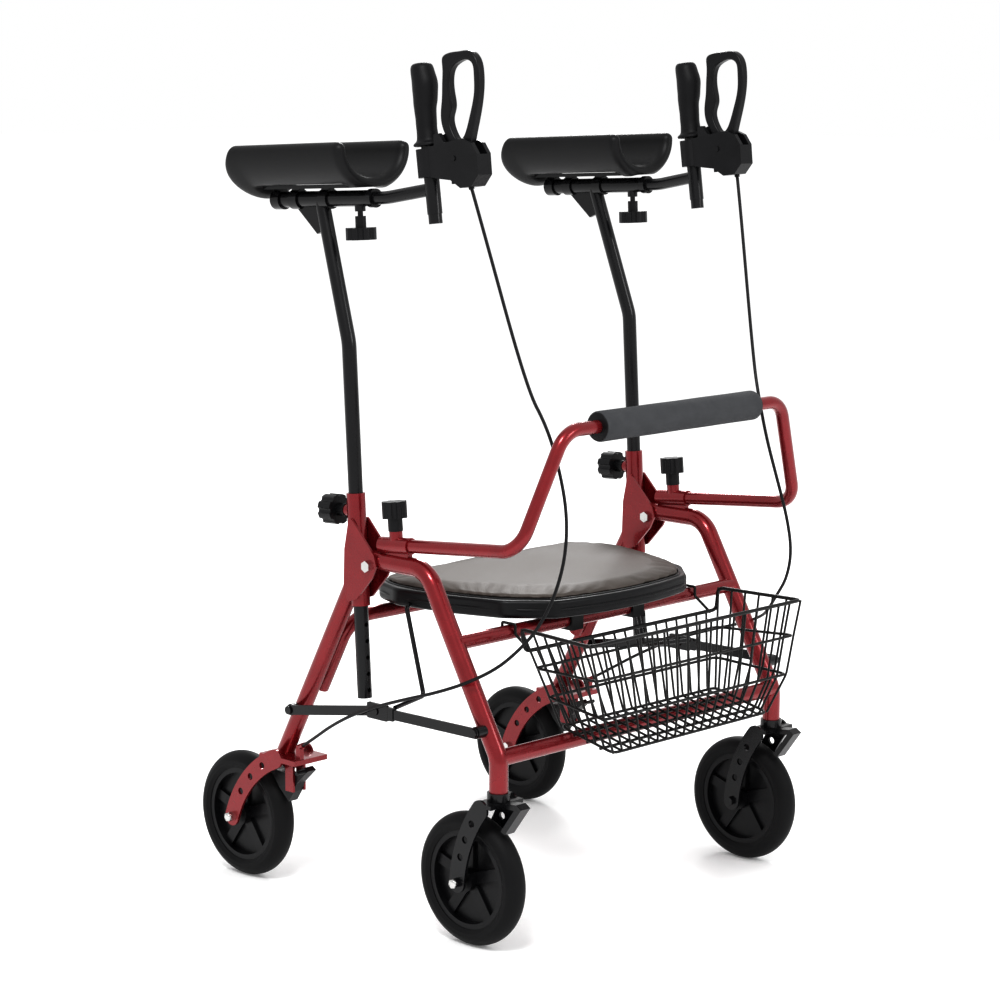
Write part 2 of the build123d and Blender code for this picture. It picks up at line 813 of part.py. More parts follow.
with BuildPart() as height_knob:
    tip = upright_dia / 2 + moving_gap
    knob(knob_foot, knob_way, tip, sleeve_r + height_boss + moving_gap, 36, 62, 23, 10)
keep_pair(height_knob.part, "height_knob")

socket_face = socket_dia / 2 + socket_boss + moving_gap
with BuildPart() as backrest_knob:
    tip = backrest_dia / 2 + moving_gap
    knob(socket_mid, socket_up, tip, socket_face, 41, 66, 19, 11)
keep_pair(backrest_knob.part, "backrest_knob")

with BuildPart() as handle_knob:
    arm_down = arm(0, -1) - arm(0, 0)
    tip = slide_r + moving_gap
    knob(arm(knob_f, 0), arm_down, tip, arm_tube_dia / 2 + 14, 43, 61, 23, 8)
keep_pair(handle_knob.part, "handle_knob")

# ------------------------------------------------------------------ backrest
knee_run = socket_y - backrest_knee_y
knee_left = Vector(frame_x, backrest_knee_y, socket_z + knee_run * tan(radians(socket_tilt)))
bar_end = socket_mid - socket_way * (socket_length / 2 - 4)
top_left = Vector(backrest_top_half, backrest_top_y, backrest_top_z)


def mirrored(point):
    """The same point on the right-hand side."""
    return Vector(-point.X, point.Y, point.Z)


with BuildPart() as backrest_bar:
    with BuildLine() as route:
        FilletPolyline(
            bar_end,
            knee_left,
            top_left,
            mirrored(top_left),
            mirrored(knee_left),
            mirrored(bar_end),
            radius=backrest_top_radius,
        )
    with BuildSketch(along(bar_end, knee_left)):
        Circle(backrest_dia / 2)
    sweep(path=route.line)
keep(backrest_bar.part, "backrest_bar")

with BuildPart() as foam_roll:
    roll_end = Vector(foam_length / 2, backrest_top_y, backrest_top_z)
    rod(mirrored(roll_end), roll_end, foam_dia / 2)
    cut_rod(mirrored(roll_end), roll_end, backrest_dia / 2)
    ends = foam_roll.edges().filter_by(GeomType.CIRCLE).sort_by(SortBy.RADIUS)[-2:]
    fillet(ends, radius=4)
keep(foam_roll.part, "foam_roll")

# ---------------------------------------------------------------------- seat
def seat_outline(inset):
    """Seat's plan: wide at the back, drawn in towards a gently curved front."""
    side = [(150, -262), (205, -205), (236, -115), (seat_half, -20), (226, 48)]
    other_side = [(-x, y) for x, y in side]
    with BuildLine() as plan:
        ThreePointArc(other_side[0], (0, seat_front_y), side[0])
        Polyline(*side)
        ThreePointArc(side[-1], (0, seat_back_y), other_side[-1])
        Polyline(*reversed(other_side))
    face = make_face(plan.line)
    rounded = fillet(face.vertices(), radius=seat_corner_radius)
    return offset(rounded, amount=-inset) if inset else rounded


seat_deck_top = seat_top_z - seat_pad_thick
hollow_top = seat_bottom_z + seat_hollow_depth
clip_z = upper_bar_z - upper_bar_dia / 2 - clip_wall
with BuildPart() as seat_board:
    with BuildSketch(Plane.XY.offset(seat_bottom_z)) as deck:
        add(seat_outline(0))
    extrude(deck.sketch, amount=seat_deck_top - seat_bottom_z)
    fillet(seat_board.faces().sort_by(Axis.Z)[0].edges(), radius=8)
    fillet(seat_board.faces().sort_by(Axis.Z)[-1].edges(), radius=5)
    with BuildSketch(Plane.XY.offset(seat_bottom_z)) as hollow:
        add(seat_outline(seat_hollow_inset))
    extrude(hollow.sketch, amount=seat_hollow_depth, mode=Mode.SUBTRACT)
    for x in (-clip_x, clip_x):
        with Locations((x, upper_bar_y, (clip_z + hollow_top) / 2)):
            Box(clip_width, upper_bar_dia + 2 * clip_wall, hollow_top - clip_z)
    bumper_top = rear_bar_z + rear_bar_dia / 2 + moving_gap
    for x in (-bumper_x, bumper_x):
        with Locations((x, rear_leg_y(rear_bar_z), (bumper_top + hollow_top) / 2)):
            Box(24, 16, hollow_top - bumper_top)
    for x in (-bail_block_x, bail_block_x):
        with Locations((x, bail_hinge_y, (bail_hinge_z + hollow_top) / 2 - 3)):
            Box(18, 16, hollow_top - bail_hinge_z + 6)
    cut_rod(
        (-seat_half, upper_bar_y, upper_bar_z),
        (seat_half, upper_bar_y, upper_bar_z),
        upper_bar_dia / 2 + running_gap,
    )
    cut_rod(
        (-seat_half, bail_hinge_y, bail_hinge_z),
        (seat_half, bail_hinge_y, bail_hinge_z),
        bail_dia / 2 + running_gap,
    )
keep(seat_board.part, "seat_board")

with BuildPart() as seat_pad:
    with BuildSketch(Plane.XY.offset(seat_deck_top)) as pad:
        add(seat_outline(seat_pad_inset))
    extrude(pad.sketch, amount=seat_pad_thick)
    fillet(seat_pad.faces().sort_by(Axis.Z)[-1].edges(), radius=6)
keep(seat_pad.part, "seat_pad")

# --------------------------------------------------------- braces and bail
def link(x, start, end):
    """Flat bar between two pivots, in the side plane at x."""
    middle = Edge.make_line(Vector(*start), Vector(*end))
    with BuildSketch(side_plane(x)) as bar:
        SlotArc(middle, link_height)
    extrude(bar.sketch, amount=link_thick)


mid_pivot = (link_mid_y, link_mid_z)
with BuildPart() as brace_rear_link:
    link(link_in, (link_rear_y, link_rear_z), mid_pivot)
    cut_rod(
        (link_in, link_rear_y, link_rear_z),
        (rear_link_out, link_rear_y, link_rear_z),
        rivet_dia / 2 + running_gap,
    )
    rod((link_in - mid_boss, *mid_pivot), (link_in, *mid_pivot), 6)
keep_pair(brace_rear_link.part, "brace_rear_link")

with BuildPart() as brace_front_link:
    link(front_link_in, (link_front_y, link_front_z), mid_pivot)
    with BuildSketch(side_plane(front_link_in)) as joint_plate:
        with Locations((link_mid_y - 4, link_mid_z)):
            RectangleRounded(44, 24, 3)
    extrude(joint_plate.sketch, amount=link_thick + 1)
    rod((front_link_out, *mid_pivot), (front_link_out + 3, *mid_pivot), 6)
    strap_y = bail_eye_y
    with Locations(((front_link_in + front_link_out) / 2 + 0.6, strap_y, link_mid_z + 0.5)):
        Box(link_thick + 1.2, 11, link_height + 5)
    cut_rod(
        (front_link_in, link_front_y, link_front_z),
        (front_link_out, link_front_y, link_front_z),
        rivet_dia / 2 + running_gap,
    )
keep_pair(brace_front_link.part, "brace_front_link")

bail_eye = Vector(link_in - mid_boss - moving_gap, bail_eye_y, bail_knee_z)
bail_knee = Vector(bail_half, bail_knee_y, bail_knee_z)
bail_corner = Vector(bail_half, bail_hinge_y, bail_hinge_z)
with BuildPart() as fold_wire:
    with BuildLine() as route:
        FilletPolyline(
            bail_eye,
            bail_knee,
            bail_corner,
            mirrored(bail_corner),
            mirrored(bail_knee),
            mirrored(bail_eye),
            radius=8,
        )
    with BuildSketch(along(bail_eye, bail_knee)):
        Circle(bail_dia / 2)
    sweep(path=route.line)
keep(fold_wire.part, "fold_wire")

# -------------------------------------------------------------------- basket
def grille(corners, columns, rings, rim=5.0):
    """Flat wire panel of the basket between four corners, bottom edge first."""
    a, b, c, d = [Vector(*corner) for corner in corners]
    face_plane = Plane(origin=a, x_dir=b - a, z_dir=(b - a).cross(d - a))
    flat = [face_plane.to_local_coords(corner) for corner in (a, b, c, d)]
    quad = [(point.X, point.Y) for point in flat]
    width = max(point.X for point in flat) - min(point.X for point in flat)
    left = min(point.X for point in flat)
    height = max(point.Y for point in flat)
    with BuildSketch(face_plane) as panel:
        Polygon(*quad, align=None)
        offset(amount=-rim, mode=Mode.SUBTRACT)
        for column in range(1, columns):
            with Locations((left + width * column / columns, height / 2)):
                Rectangle(basket_wire, height)
        for ring in range(1, rings):
            with Locations((left + width / 2, height * ring / rings)):
                Rectangle(width, basket_wire)
        Polygon(*quad, align=None, mode=Mode.INTERSECT)
    extrude(panel.sketch, amount=basket_wire, both=False)


basket_front_top = (244, -415, 461)
basket_front_foot = (180, -403, 291)
basket_rear_foot = (180, -299, 313)
basket_rear_top = (220, -264, 428)
basket_side_top = (226, -262, 462)
hook_x = 206.0
hook_wire_r = 2.2


def other(point):
    """Mirror a basket corner to the right-hand side."""
    return (-point[0], point[1], point[2])


with BuildPart() as basket:
    grille([other(basket_front_foot), basket_front_foot, basket_front_top, other(basket_front_top)], 17, 3)
    grille([other(basket_rear_foot), basket_rear_foot, basket_front_foot, other(basket_front_foot)], 17, 2)
    grille([basket_rear_foot, other(basket_rear_foot), other(basket_rear_top), basket_rear_top], 15, 3)
    grille([basket_front_foot, basket_rear_foot, basket_side_top, basket_front_top], 7, 3)
    hook_gap = upper_bar_dia / 2 + hook_wire_r + moving_gap
    with BuildLine() as hook:
        FilletPolyline(
            (hook_x, upper_bar_y + hook_gap, upper_bar_z + 9),
            (hook_x, upper_bar_y + hook_gap, upper_bar_z + hook_gap),
            (hook_x, upper_bar_y - hook_gap, upper_bar_z + hook_gap),
            (hook_x, upper_bar_y - hook_gap, upper_bar_z - 2),
            (hook_x, basket_rear_top[1] + 2, basket_rear_top[2] - 14),
            radius=4,
        )
    with BuildSketch(Plane(origin=hook.line @ 0, z_dir=hook.line % 0)) as wire:
        Circle(hook_wire_r)
    sweep(wire.sketch, path=hook.line)
    mirror(about=Plane.YZ)
keep(basket.part, "basket")

# ------------------------------------------------------------ brakes, cables
shoe_r = wheel_r + brake_shoe_gap
with BuildPart() as brake_arm:
    with BuildSketch(side_plane(frame_x - brake_half)) as lever:
        with BuildLine():
            Polyline(
                (brake_pivot_y - 38, 196),
                (brake_pivot_y - 30, 201),
                (brake_pivot_y + 2, 184),
                (brake_pivot_y + 34, 186),
                (brake_pivot_y + 50, 194),
                (brake_pivot_y + 62, 188),
                (brake_pivot_y + 6, 140),
                (brake_pivot_y - 6, 158),
                (brake_pivot_y - 12, 172),
                close=True,
            )
        make_face()
        with Locations((rear_wheel_y, wheel_r)):
            Circle(shoe_r, mode=Mode.SUBTRACT)
    extrude(lever.sketch, amount=2 * brake_half)
    rod((frame_x, brake_pivot_y - 32, 195), (frame_x + fork_gap - 3, brake_pivot_y - 32, 195), 3)
    cut_rod(
        (frame_x - brake_half, brake_pivot_y, brake_pivot_z),
        (frame_x + brake_half, brake_pivot_y, brake_pivot_z),
        brake_pin_dia / 2 + running_gap,
    )
keep_pair(brake_arm.part, "brake_arm")

with BuildPart() as brake_cable:
    with BuildLine() as route:
        FilletPolyline(*cable_points, radius=cable_radii)
    with BuildSketch(along(cable_points[0], cable_points[1])):
        Circle(cable_dia / 2)
    sweep(path=route.line)
keep_pair(brake_cable.part, "brake_cable")

cable_length = sum(edge.length for edge in route.edges())
cable_section = pi * (cable_dia / 2) ** 2
print("cable length", round(cable_length, 1), "radii", [round(r) for r in cable_radii])
print("cable volume / (section x length)", brake_cable.part.volume / cable_section / cable_length)
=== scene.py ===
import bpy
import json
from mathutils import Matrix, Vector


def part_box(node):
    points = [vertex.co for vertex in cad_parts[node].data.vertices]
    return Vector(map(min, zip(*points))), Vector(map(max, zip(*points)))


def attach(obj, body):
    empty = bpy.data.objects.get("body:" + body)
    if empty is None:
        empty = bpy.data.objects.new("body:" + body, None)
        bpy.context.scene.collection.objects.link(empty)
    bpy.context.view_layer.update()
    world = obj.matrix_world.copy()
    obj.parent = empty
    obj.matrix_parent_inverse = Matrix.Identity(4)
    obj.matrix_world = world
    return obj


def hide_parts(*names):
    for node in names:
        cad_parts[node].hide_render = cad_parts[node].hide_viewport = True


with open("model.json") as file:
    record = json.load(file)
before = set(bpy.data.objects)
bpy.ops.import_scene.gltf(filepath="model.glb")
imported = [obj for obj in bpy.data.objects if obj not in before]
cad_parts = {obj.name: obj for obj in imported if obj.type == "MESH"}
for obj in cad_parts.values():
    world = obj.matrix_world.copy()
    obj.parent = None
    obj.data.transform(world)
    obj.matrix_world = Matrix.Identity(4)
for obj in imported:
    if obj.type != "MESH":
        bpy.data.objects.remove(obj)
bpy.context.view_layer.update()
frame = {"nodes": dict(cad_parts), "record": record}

import json
from math import cos, exp, pi, sin

import bmesh
import bpy
from mathutils import Matrix, Vector

MM = 0.001
ORIGIN_Y = -34.5  # the part's own y = 0, in the measures below
SIDES = (("left", 1), ("right", -1))
NODES = frame["nodes"]


def at(x, y, z):
    """Point in metres in the shared frame, from the part's own millimetres."""
    return Vector((x * MM, (y - ORIGIN_Y) * MM, z * MM))


# ------------------------------------------------------------------- camera
camera = bpy.data.objects.new("camera", bpy.data.cameras.new("camera"))
bpy.context.scene.collection.objects.link(camera)
bpy.context.scene.camera = camera
camera.data.lens = 99.85
camera.data.sensor_width = 36
camera.data.clip_end = 60  # past the far corner of the floor
camera_right = Vector((0.69475, -0.71923, 0.00494))
camera_up = Vector((0.11305, 0.11598, 0.9868))
camera_back = Vector((-0.71031, -0.68502, 0.16189))
turn = Matrix((camera_right, camera_up, camera_back)).transposed().to_4x4()
camera.matrix_world = Matrix.Translation(at(-3115.8, -3004.9, 1306.5)) @ turn


# ---------------------------------------------------------------- materials
def material(name, color, roughness, metallic=0.0, coat=0.0, grain=0.0, grain_scale=900.0,
             mottle=0.0, mottle_scale=30.0, pattern="noise", rough_spread=0.08, tint=None,
             specular=0.5, wear=0.0):
    """Surface with mottled colour, uneven gloss and a fine relief."""
    m = bpy.data.materials.new(name)
    m.use_nodes = True
    nodes, links = m.node_tree.nodes, m.node_tree.links
    shader = nodes["Principled BSDF"]
    shader.inputs["Metallic"].default_value = metallic
    shader.inputs["Coat Weight"].default_value = coat
    shader.inputs["Coat Roughness"].default_value = 0.08
    shader.inputs["Specular IOR Level"].default_value = specular
    place = nodes.new("ShaderNodeTexCoord")
    big = nodes.new("ShaderNodeTexNoise")
    big.inputs["Scale"].default_value = mottle_scale
    big.inputs["Detail"].default_value = 6
    links.new(place.outputs["Object"], big.inputs["Vector"])
    shade = nodes.new("ShaderNodeMix")
    shade.data_type = "RGBA"
    dark = [c * (1 - mottle) for c in color]
    light = list(tint) if tint else [min(1, c * (1 + mottle)) for c in color]
    shade.inputs[6].default_value = (*dark, 1)
    shade.inputs[7].default_value = (*light, 1)
    links.new(big.outputs["Fac"], shade.inputs[0])
    outcome = shade.outputs[2]
    if wear:
        edge = nodes.new("ShaderNodeNewGeometry")
        ramp = nodes.new("ShaderNodeMapRange")
        ramp.inputs["From Min"].default_value = 0.53
        ramp.inputs["From Max"].default_value = 0.62
        ramp.inputs["To Max"].default_value = wear
        links.new(edge.outputs["Pointiness"], ramp.inputs["Value"])
        worn = nodes.new("ShaderNodeMix")
        worn.data_type = "RGBA"
        worn.inputs[7].default_value = (*[min(1, c * 2.2 + 0.03) for c in color], 1)
        links.new(ramp.outputs["Result"], worn.inputs[0])
        links.new(outcome, worn.inputs[6])
        outcome = worn.outputs[2]
    links.new(outcome, shader.inputs["Base Color"])
    gloss = nodes.new("ShaderNodeMapRange")
    gloss.inputs["To Min"].default_value = max(0.02, roughness - rough_spread)
    gloss.inputs["To Max"].default_value = min(1, roughness + rough_spread)
    links.new(big.outputs["Fac"], gloss.inputs["Value"])
    links.new(gloss.outputs["Result"], shader.inputs["Roughness"])
    if grain:
        if pattern == "noise":
            fine = nodes.new("ShaderNodeTexNoise")
            fine.inputs["Detail"].default_value = 4
            height = fine.outputs["Fac"]
        else:
            fine = nodes.new("ShaderNodeTexVoronoi")
            fine.feature = "SMOOTH_F1" if pattern == "pores" else "DISTANCE_TO_EDGE"
            height = fine.outputs["Distance"]
        fine.inputs["Scale"].default_value = grain_scale
        links.new(place.outputs["Object"], fine.inputs["Vector"])
        bump = nodes.new("ShaderNodeBump")
        bump.inputs["Strength"].default_value = grain
        bump.inputs["Distance"].default_value = 0.0006
        links.new(height, bump.inputs["Height"])
        links.new(bump.outputs["Normal"], shader.inputs["Normal"])
    return m


RED = material("red_paint", (0.20, 0.006, 0.011), 0.27, metallic=0.55, coat=0.55, grain=0.05,
               grain_scale=2500, mottle=0.12, tint=(0.27, 0.012, 0.018), rough_spread=0.05)
BLACK = material("black_paint", (0.005, 0.005, 0.006), 0.24, coat=0.12, grain=0.04,
                 grain_scale=1800, mottle=0.25, rough_spread=0.05, specular=0.35)
TYRE = material("tyre_rubber", (0.0055, 0.0055, 0.006), 0.55, grain=0.25, grain_scale=1400,
                mottle=0.3, tint=(0.010, 0.010, 0.011), mottle_scale=18, specular=0.2)
RIM = material("rim_plastic", (0.004, 0.004, 0.005), 0.36, grain=0.12, grain_scale=2200, mottle=0.2,
               specular=0.3)
STEEL = material("bright_steel", (0.62, 0.62, 0.61), 0.24, metallic=1.0, grain=0.05,
                 grain_scale=1500, mottle=0.06, rough_spread=0.08)
PLASTIC = material("black_plastic", (0.005, 0.005, 0.006), 0.36, grain=0.15, grain_scale=2000,
                   mottle=0.2, wear=0.08, specular=0.3)
GRIP = material("grip_rubber", (0.006, 0.006, 0.007), 0.48, grain=0.3, grain_scale=1600, mottle=0.25,
                specular=0.25)
PAD = material("pad_skin", (0.0045, 0.0045, 0.005), 0.42, grain=0.3, grain_scale=1300,
               mottle=0.3, tint=(0.009, 0.009, 0.010), mottle_scale=14, specular=0.3)
FOAM = material("roll_foam", (0.050, 0.052, 0.056), 0.8, grain=0.5, grain_scale=1500, pattern="pores",
                mottle=0.12, tint=(0.085, 0.087, 0.092), mottle_scale=40, specular=0.25)
VINYL = material("seat_vinyl", (0.070, 0.058, 0.050), 0.5, grain=0.45, grain_scale=520, pattern="leather",
                 mottle=0.15, tint=(0.108, 0.092, 0.080), mottle_scale=9, specular=0.35)
WIRE = material("basket_wire", (0.004, 0.004, 0.004), 0.34, coat=0.1, grain=0.05, mottle=0.2, specular=0.3)
JACKET = material("cable_jacket", (0.005, 0.005, 0.006), 0.35, grain=0.08, grain_scale=1500, mottle=0.2,
                  specular=0.3)

SLOT_LOOK = {
    "tyre": TYRE, "wheel_plastic": RIM, "frame_red": RED, "frame_black": BLACK,
    "bright_steel": STEEL, "black_plastic": PLASTIC, "grip_rubber": GRIP, "pad_foam": PAD,
    "roll_foam": FOAM, "seat_vinyl": VINYL, "basket_wire": WIRE, "cable_jacket": JACKET,
}


# ------------------------------------------------------------------ helpers
def dress(obj, look):
    """Give a piece its only material."""
    obj.data.materials.clear()
    obj.data.materials.append(look)


def piece(name, data, look, body):
    """Put new mesh or curve data in the scene, riding on a body."""
    obj = bpy.data.objects.new(name, data)
    bpy.context.scene.collection.objects.link(obj)
    dress(obj, look)
    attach(obj, body)
    return obj


def mesh_piece(name, verts, faces, look, body, subdivide=0):
    """Smooth mesh piece from corners and faces."""
    mesh = bpy.data.meshes.new(name)
    mesh.from_pydata([tuple(v) for v in verts], [], faces)
    bm = bmesh.new()
    bm.from_mesh(mesh)
    bmesh.ops.recalc_face_normals(bm, faces=bm.faces)
    bm.to_mesh(mesh)
    bm.free()
    for face in mesh.polygons:
        face.use_smooth = True
    obj = piece(name, mesh, look, body)
    if subdivide:
        obj.modifiers.new("subdivide", "SUBSURF").levels = subdivide
        obj.modifiers["subdivide"].render_levels = subdivide
    return obj


def loft(rings, caps=True):
    """Corners and faces of a skin over closed rings of equal size."""
    count = len(rings[0])
    verts = [point for ring in rings for point in ring]
    faces = []
    for i in range(len(rings) - 1):
        for j in range(count):
            k = (j + 1) % count
            faces.append((i * count + j, i * count + k, (i + 1) * count + k, (i + 1) * count + j))
    if caps:
        faces.append(tuple(range(count)))
        faces.append(tuple((len(rings) - 1) * count + j for j in range(count)))
    return verts, faces


def strand(name, runs, radius, look, body, cyclic=False):
    """Round wires that follow runs of control points."""
    curve = bpy.data.curves.new(name, "CURVE")
    curve.dimensions = "3D"
    curve.bevel_depth = 1.0  # times each point's own radius, which the bounding box reads too
    curve.bevel_resolution = 4
    curve.use_fill_caps = True
    curve.resolution_u = 6
    for run in runs:
        spline = curve.splines.new("NURBS")
        spline.points.add(len(run) - 1)
        for dot, point in zip(spline.points, run):
            dot.co = (*point, 1)
            dot.radius = radius
        spline.order_u = 3
        spline.use_endpoint_u = not cyclic
        spline.use_cyclic_u = cyclic
    return piece(name, curve, look, body)


def lathe(name, profile, start, way, look, body, steps=40):
    """Turned piece: profile of (distance along way, radius) in millimetres."""
    way = way.normalized()
    across = way.orthogonal().normalized()
    other = way.cross(across)
    rings = []
    for distance, radius in profile:
        centre = start + way * distance * MM
        rings.append([
            centre + (across * cos(2 * pi * j / steps) + other * sin(2 * pi * j / steps)) * radius * MM
            for j in range(steps)
        ])
    verts, faces = loft(rings)
    return mesh_piece(name, verts, faces, look, body)


# ------------------------------------------------------------------- cables
cable_route = [
    (297, -228, 1104), (291, -240, 1060), (257, -300, 822), (241, -325, 768), (236, -346, 706),
    (240, -365, 645), (254, -375, 585), (273, -371, 528), (288, -351, 480), (299, -322, 446),
    (314, -296, 420), (340, -262, 398), (353, -210, 377), (356, -150, 358), (355, -92, 338),
    (354, -36, 315), (348, 18, 287), (340, 62, 260), (334, 96, 240),
]
cable_diameter = 0.005
for side, sign in SIDES:
    route = [at(sign * x, y, z) for x, y, z in cable_route]
    cable = strand(f"cable_{side}", [route], cable_diameter / 2, JACKET, "rear_frame")
    cable.data.resolution_u = 12
    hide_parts(f"brake_cable_{side}")

# ------------------------------------------------------------ wires and turned parts
def mix(a, b, t):
    """Point part of the way from a to b."""
    return tuple(p + (q - p) * t for p, q in zip(a, b))


def bent(points, reach, cyclic=False):
    """Control points of a bent wire: straight runs, and bends of about reach millimetres."""
    corners = [Vector(p) for p in points]
    out = []
    for i, corner in enumerate(corners):
        if not cyclic and i in (0, len(corners) - 1):
            out.append(corner)
            continue
        before, after = corners[i - 1] - corner, corners[(i + 1) % len(corners)] - corner
        out.append(corner + before.normalized() * min(reach, before.length * 0.45))
        out.append(corner)
        out.append(corner + after.normalized() * min(reach, after.length * 0.45))
    return [at(*p) for p in out]


def flip(points, sign):
    """Points in millimetres on one side."""
    return [(sign * x, y, z) for x, y, z in points]


# ------------------------------------------------------------------- basket
FRONT_TOP, SIDE_TOP = (243, -414, 460), (226, -263, 461)
FRONT_FOOT, REAR_FOOT, REAR_TOP = (178, -403, 291), (178, -300, 313), (219, -265, 427)
FRONT_LOW, FRONT_MID = (211, -414, 348), (227, -414, 407)
LOW_SHARE, MID_SHARE = 0.34, 0.68  # heights of the two rings, as shares of the basket's height
rim_wire, ring_wire, rib_wire = 0.0030, 0.0022, 0.0018
front_ribs, side_ribs = 17, 5
bend_reach, corner_reach = 12, 24


def basket_level(t):
    """Level ring, t from the foot at 0 to the rim at 1."""
    half = [{0: FRONT_FOOT, LOW_SHARE: FRONT_LOW, MID_SHARE: FRONT_MID, 1: FRONT_TOP}[t],
            mix(REAR_FOOT, mix(SIDE_TOP, REAR_TOP, 0.5), t)]
    if t == 1:
        half = [FRONT_TOP, SIDE_TOP, REAR_TOP]
    return bent(half + flip(half[::-1], -1), corner_reach, cyclic=True)


rim = strand("basket_rim", [basket_level(1)], rim_wire, WIRE, "basket", cyclic=True)
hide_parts("basket")
strand("basket_rings", [basket_level(t) for t in (0, LOW_SHARE, MID_SHARE)], ring_wire, WIRE, "basket",
       cyclic=True)
ribs = []
for i in range(1, front_ribs + 1):
    share = i * 2 / (front_ribs + 1) - 1
    run = [REAR_TOP, REAR_FOOT, FRONT_FOOT, FRONT_LOW, FRONT_MID, FRONT_TOP]
    ribs.append(bent([(x * share, y, z) for x, y, z in run], bend_reach))
for side, sign in SIDES:
    for i in range(1, side_ribs + 1):
        t = i / (side_ribs + 1)
        foot = mix(FRONT_FOOT, REAR_FOOT, t)
        low = mix(FRONT_LOW, mix(REAR_FOOT, SIDE_TOP, LOW_SHARE), t)
        ribs.append(bent(flip([foot, low, mix(FRONT_TOP, SIDE_TOP, t)], sign), bend_reach))
    ribs.append(bent(flip([FRONT_FOOT, FRONT_LOW, FRONT_MID, FRONT_TOP], sign), bend_reach))
    ribs.append(bent(flip([REAR_FOOT, SIDE_TOP], sign), bend_reach))
strand("basket_ribs", ribs, rib_wire, WIRE, "basket")
floor_drop = 3.6  # cross wires lie under the ribs
floor_wires = []
for t in (0.25, 0.5, 0.75):
    x, y, z = mix(FRONT_FOOT, REAR_FOOT, t)
    floor_wires.append([at(-x, y, z - floor_drop), at(x, y, z - floor_drop)])
strand("basket_floor", floor_wires, ring_wire, WIRE, "basket")
hook_x, hook_reach = 206, 7
hook_line = [(-204.5, 450), (-204.5, 460.5), (-231.5, 460.5), (-231.5, 446), (-264, 424)]
hook_runs = [bent([(sign * hook_x, y, z) for y, z in hook_line], hook_reach) for side, sign in SIDES]
strand("basket_hooks", hook_runs, ring_wire, WIRE, "basket")

# ------------------------------------------------------------- forearm pads
ARM_TILT = 3 * pi / 180
arm_y, arm_z = 80, 1078
pad_x, pad_back, pad_front = 300, -148, 117
pad_half, pad_deep, pad_wall = 64.5, 52.5, 10.5  # middle of the wall, and half its thickness
pad_edge = 13  # rounding of the two open ends
rim_up = 73  # middle of the pad's rounded rim above the arm tube's axis
arc_steps, tip_steps = 30, 7
ring_size = 2 * (arc_steps + tip_steps)
plate_back, plate_front, plate_half, plate_clear = -109, 89, 40, 22.4
tube_x, tube_half, tube_clear = 4, 24, 16.5
sag_depth, sag_from, sag_span = 9, -104, 22
tuck_depth, tuck_from, tuck_span = 24, -96, 52  # rear end's rounding in side view
pad_middle_u, pad_half_height = 40, 44


def arm(f, u, x):
    """Point on an arm: f forward of the upright's head, u above the arm tube's axis."""
    return at(x, arm_y - f * cos(ARM_TILT) + u * sin(ARM_TILT),
              arm_z + f * sin(ARM_TILT) + u * cos(ARM_TILT))


def pad_ring(f, sign):
    """Closed section of the U-shaped pad, thinning to nothing at its rounded ends."""
    into_edge = max(0, pad_edge - min(f - pad_back, pad_front - f)) / pad_edge
    swell = max(0.04, 1 - into_edge ** 2) ** 0.5
    sag = sag_depth * min(1, max(0, (sag_from - f) / sag_span))

    def spot(angle, offset):
        """Point on the outer skin, offset 1, or the inner one, offset -1."""
        wall = pad_wall - 0.5 * sin(angle) ** 2
        x = (pad_half + offset * wall * swell) * cos(angle)
        u = rim_up + (pad_deep + offset * wall * swell + (sag if offset > 0 else 0)) * sin(angle)
        if offset > 0 and plate_back < f < plate_front and abs(x) < plate_half:
            u = max(u, plate_clear)
        elif offset > 0 and f >= plate_back and abs(x - tube_x) < tube_half:
            u = max(u, tube_clear)
        return x, u

    def tip(middle):
        """Rounded rim from one skin to the other."""
        turns = [pi * i / tip_steps for i in range(1, tip_steps)]
        return [(middle + pad_wall * swell * cos(a), rim_up + pad_wall * swell * sin(a)) for a in turns]

    points = [spot(pi + pi * i / arc_steps, 1) for i in range(arc_steps + 1)] + tip(pad_half)
    points += [spot(2 * pi - pi * i / arc_steps, -1) for i in range(arc_steps + 1)] + tip(-pad_half)
    tuck = tuck_depth * max(0, (tuck_from - f) / tuck_span) ** 2
    return [arm(f + tuck * ((u - pad_middle_u) / pad_half_height) ** 2, u, sign * (pad_x + x))
            for x, u in points]


def pad_end(first):
    """Faces that close a pad section whose ring starts at vertex first."""
    inner_start = arc_steps + tip_steps
    last = inner_start + arc_steps
    quads = [(i, i + 1, last - i - 1, last - i) for i in range(arc_steps)]
    tips = [tuple(range(arc_steps, inner_start + 1)), (*range(last, ring_size), 0)]
    return [tuple(first + i for i in face) for face in quads + tips]


edge_steps = (0, 1, 3, 6, 10, 14)
pad_stations = [pad_back + step for step in edge_steps] + [-126, -116, -110, -108]
pad_stations += list(range(-100, 86, 12)) + [87.5, 89.5, 96]
pad_stations += [pad_front - step for step in reversed(edge_steps)]
for side, sign in SIDES:
    verts, faces = loft([pad_ring(f, sign) for f in pad_stations], caps=False)
    faces += pad_end(0) + pad_end(len(verts) - ring_size)
    pad = mesh_piece(f"forearm_cushion_{side}", verts, faces, PAD, f"upright_{side}",
                     subdivide=1)
    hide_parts(f"forearm_pad_{side}")

# ---------------------------------------------------------------- hand grips
HAND_LEAN = 7.8 * pi / 180
hand_x, hand_y, hand_z = 293, -149.5, 1065.4
flange_top, palm_u, palm_span, palm_depth = 104, 184, 24, 4.5
groove_from, groove_to, groove_pitch, groove_depth = 110, 212, 26, 0.8
grip_steps, grip_flat = 32, 0.92


